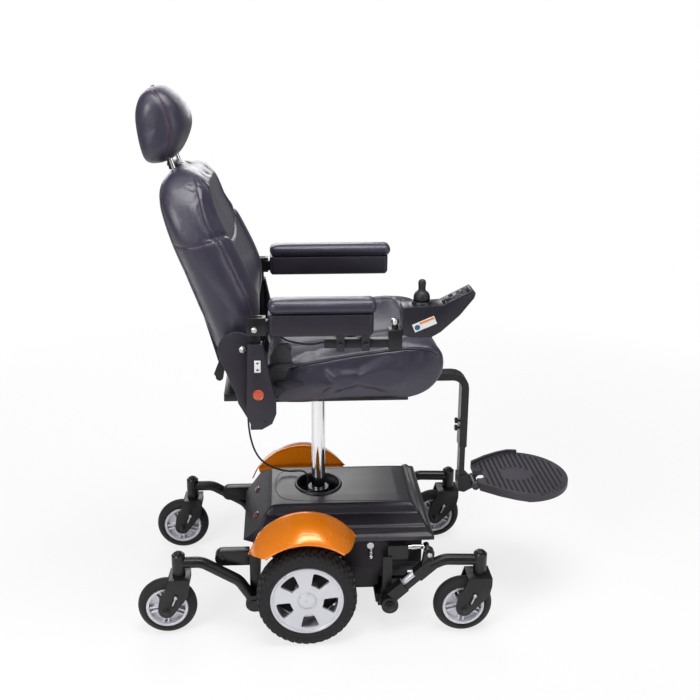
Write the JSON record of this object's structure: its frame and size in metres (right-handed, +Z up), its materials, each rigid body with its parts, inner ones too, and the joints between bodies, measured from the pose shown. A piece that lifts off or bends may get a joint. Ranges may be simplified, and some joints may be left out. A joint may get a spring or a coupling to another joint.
{
  "type": "power wheelchair",
  "caption": "Power wheelchair: padded captain's seat on a lift column over a low base with drive wheels, sprung caster arms, fenders, footrest and joystick.",
  "frame": {"origin": "on the floor, under the middle of the bounding box", "axes": "+X forward, +Y to the user's left, +Z up"},
  "size_m": [1.16, 0.604, 1.3796],
  "materials": {
    "frame_paint": "satin",
    "motor_casting": "matte",
    "shroud_plastic": "semi-gloss, faintly flecked",
    "box_plastic": "satin",
    "fender_plastic": "gloss metallic orange",
    "chrome_steel": "polished",
    "tyre_rubber": "matte",
    "wheel_silver": "satin silver",
    "lever_steel": "satin",
    "vinyl": "soft satin",
    "webbing": "woven",
    "trim_plastic": "satin",
    "controller_plastic": "satin",
    "switch_plastic": "satin",
    "soft_rubber": "matte"
  },
  "bodies": {
    "base": {"chassis_frame": "frame_paint", "body_shroud": "shroud_plastic", "battery_box": "box_plastic", "gearmotors": "motor_casting", "lift_outer_tube": "frame_paint", "fender_right": "fender_plastic", "fender_left": "fender_plastic", "front_struts": "chrome_steel", "rear_struts": "frame_paint", "arm_pivot_bolts": "frame_paint", "seat_cable": "soft_rubber"},
    "drive_wheel_right": {"drive_tyre_right": "tyre_rubber", "drive_rim_right": "wheel_silver"},
    "drive_wheel_left": {"drive_tyre_left": "tyre_rubber", "drive_rim_left": "wheel_silver"},
    "front_arm_right": {"front_arm_right": "frame_paint"},
    "front_fork_right": {"front_fork_right": "frame_paint"},
    "front_caster_right": {"front_caster_tyre_right": "tyre_rubber", "front_caster_rim_right": "wheel_silver"},
    "front_arm_left": {"front_arm_left": "frame_paint"},
    "front_fork_left": {"front_fork_left": "frame_paint"},
    "front_caster_left": {"front_caster_tyre_left": "tyre_rubber", "front_caster_rim_left": "wheel_silver"},
    "rear_arm_right": {"rear_arm_right": "frame_paint"},
    "rear_fork_right": {"rear_fork_right": "frame_paint"},
    "rear_caster_right": {"rear_caster_tyre_right": "tyre_rubber", "rear_caster_rim_right": "wheel_silver"},
    "rear_arm_left": {"rear_arm_left": "frame_paint"},
    "rear_fork_left": {"rear_fork_left": "frame_paint"},
    "rear_caster_left": {"rear_caster_tyre_left": "tyre_rubber", "rear_caster_rim_left": "wheel_silver"},
    "freewheel_right": {"freewheel_lever_right": "lever_steel"},
    "freewheel_left": {"freewheel_lever_left": "lever_steel"},
    "seat": {"lift_column": "chrome_steel", "seat_frame": "frame_paint", "seat_cushion": "vinyl", "seat_belt": "webbing", "side_cover_right": "trim_plastic", "side_cover_left": "trim_plastic", "recline_covers": "trim_plastic", "footrest_hanger": "frame_paint"},
    "lift_rocker": {"lift_rocker": "switch_plastic"},
    "footrest": {"footrest_tube": "frame_paint"},
    "footplate": {"footplate": "trim_plastic"},
    "backrest": {"back_frame": "frame_paint", "back_cushion": "vinyl"},
    "headrest": {"headrest_posts": "chrome_steel", "headrest": "vinyl"},
    "armrest_right": {"arm_bracket_right": "frame_paint", "arm_shell_right": "trim_plastic", "arm_pad_right": "vinyl", "controller_cable": "soft_rubber"},
    "armrest_left": {"arm_bracket_left": "frame_paint", "arm_shell_left": "trim_plastic", "arm_pad_left": "vinyl"},
    "controller": {"controller_mount": "frame_paint", "controller_body": "controller_plastic"},
    "joystick_gimbal": {"joystick_gimbal": "controller_plastic"},
    "joystick": {"joystick": "soft_rubber"},
    "power_button": {"power_button": "soft_rubber"},
    "horn_button": {"horn_button": "soft_rubber"}
  },
  "joints": [
    {"name": "drive_right_spin", "type": "hinge", "parent": "base", "child": "drive_wheel_right", "pos_m": [-0.147, -0.253, 0.127], "axis": [0, 1, 0], "continuous": true},
    {"name": "drive_left_spin", "type": "hinge", "parent": "base", "child": "drive_wheel_left", "pos_m": [-0.147, 0.253, 0.127], "axis": [0, 1, 0], "continuous": true},
    {"name": "front_arm_right_swing", "type": "hinge", "parent": "base", "child": "front_arm_right", "pos_m": [0.067, -0.228, 0.078], "axis": [0, 1, 0], "range_deg": [-5, 5], "stiffness_Nm_per_rad": 2500},
    {"name": "rear_arm_right_swing", "type": "hinge", "parent": "base", "child": "rear_arm_right", "pos_m": [-0.28, -0.203, 0.079], "axis": [0, 1, 0], "range_deg": [-5, 5], "stiffness_Nm_per_rad": 2500},
    {"name": "front_caster_right_swivel", "type": "hinge", "parent": "front_arm_right", "child": "front_fork_right", "pos_m": [0.297, -0.228, 0.19], "axis": [0, 0, 1], "continuous": true},
    {"name": "rear_caster_right_swivel", "type": "hinge", "parent": "rear_arm_right", "child": "rear_fork_right", "pos_m": [-0.472, -0.203, 0.19], "axis": [0, 0, 1], "continuous": true},
    {"name": "front_caster_right_spin", "type": "hinge", "parent": "front_fork_right", "child": "front_caster_right", "pos_m": [0.256, -0.228, 0.076], "axis": [0, 1, 0], "continuous": true},
    {"name": "rear_caster_right_spin", "type": "hinge", "parent": "rear_fork_right", "child": "rear_caster_right", "pos_m": [-0.504, -0.203, 0.076], "axis": [0, 1, 0], "continuous": true},
    {"name": "freewheel_right", "type": "hinge", "parent": "base", "child": "freewheel_right", "pos_m": [0.019, -0.189, 0.226], "axis": [0, 1, 0], "range_deg": [0, 50]},
    {"name": "front_arm_left_swing", "type": "hinge", "parent": "base", "child": "front_arm_left", "pos_m": [0.067, 0.228, 0.078], "axis": [0, 1, 0], "range_deg": [-5, 5], "stiffness_Nm_per_rad": 2500},
    {"name": "rear_arm_left_swing", "type": "hinge", "parent": "base", "child": "rear_arm_left", "pos_m": [-0.28, 0.203, 0.079], "axis": [0, 1, 0], "range_deg": [-5, 5], "stiffness_Nm_per_rad": 2500},
    {"name": "front_caster_left_swivel", "type": "hinge", "parent": "front_arm_left", "child": "front_fork_left", "pos_m": [0.297, 0.228, 0.19], "axis": [0, 0, 1], "continuous": true},
    {"name": "rear_caster_left_swivel", "type": "hinge", "parent": "rear_arm_left", "child": "rear_fork_left", "pos_m": [-0.472, 0.203, 0.19], "axis": [0, 0, 1], "continuous": true},
    {"name": "front_caster_left_spin", "type": "hinge", "parent": "front_fork_left", "child": "front_caster_left", "pos_m": [0.256, 0.228, 0.076], "axis": [0, 1, 0], "continuous": true},
    {"name": "rear_caster_left_spin", "type": "hinge", "parent": "rear_fork_left", "child": "rear_caster_left", "pos_m": [-0.504, 0.203, 0.076], "axis": [0, 1, 0], "continuous": true},
    {"name": "freewheel_left", "type": "hinge", "parent": "base", "child": "freewheel_left", "pos_m": [0.019, 0.189, 0.226], "axis": [0, 1, 0], "range_deg": [0, 50]},
    {"name": "seat_lift", "type": "slide", "parent": "base", "child": "seat", "axis": [0, 0, 1], "range_m": [-0.2, 0], "deforming": ["seat_cable"]},
    {"name": "back_recline", "type": "hinge", "parent": "seat", "child": "backrest", "pos_m": [-0.307, 0, 0.786], "axis": [0, 1, 0], "range_deg": [-20, 40]},
    {"name": "headrest_height", "type": "slide", "parent": "backrest", "child": "headrest", "axis": [-0.296, 0, 0.9552], "range_m": [0, 0.06]},
    {"name": "lift_rocker_tilt", "type": "hinge", "parent": "seat", "child": "lift_rocker", "pos_m": [-0.259, -0.2965, 0.7605], "axis": [1, 0, 0], "range_deg": [-6, 6], "stiffness_Nm_per_rad": 0.2},
    {"name": "footrest_height", "type": "slide", "parent": "seat", "child": "footrest", "axis": [0, 0, 1], "range_m": [-0.04, 0.06]},
    {"name": "footplate_flip", "type": "hinge", "parent": "footrest", "child": "footplate", "pos_m": [0.323, 0, 0.299], "axis": [0, -1, 0], "range_deg": [0, 90]},
    {"name": "armrest_right_flip", "type": "hinge", "parent": "seat", "child": "armrest_right", "pos_m": [-0.265, -0.285, 0.849], "axis": [0, -1, 0], "range_deg": [0, 95]},
    {"name": "armrest_left_flip", "type": "hinge", "parent": "seat", "child": "armrest_left", "pos_m": [-0.265, 0.285, 0.849], "axis": [0, -1, 0], "range_deg": [0, 95]},
    {"name": "controller_reach", "type": "slide", "parent": "armrest_right", "child": "controller", "axis": [1, 0, 0], "range_m": [0, 0.05]},
    {"name": "joystick_fore_aft", "type": "hinge", "parent": "controller", "child": "joystick_gimbal", "pos_m": [0.119, -0.274, 0.912], "axis": [0, 1, 0], "range_deg": [-18, 18], "stiffness_Nm_per_rad": 0.4},
    {"name": "joystick_side", "type": "hinge", "parent": "joystick_gimbal", "child": "joystick", "pos_m": [0.119, -0.274, 0.912], "axis": [1, 0, 0], "range_deg": [-18, 18], "stiffness_Nm_per_rad": 0.4},
    {"name": "power_button_press", "type": "slide", "parent": "controller", "child": "power_button", "axis": [0.4524, 0, -0.8918], "range_m": [0, 0.0015], "stiffness_N_per_m": 800},
    {"name": "horn_button_press", "type": "slide", "parent": "controller", "child": "horn_button", "axis": [0.4524, 0, -0.8918], "range_m": [0, 0.0015], "stiffness_N_per_m": 800}
  ]
}
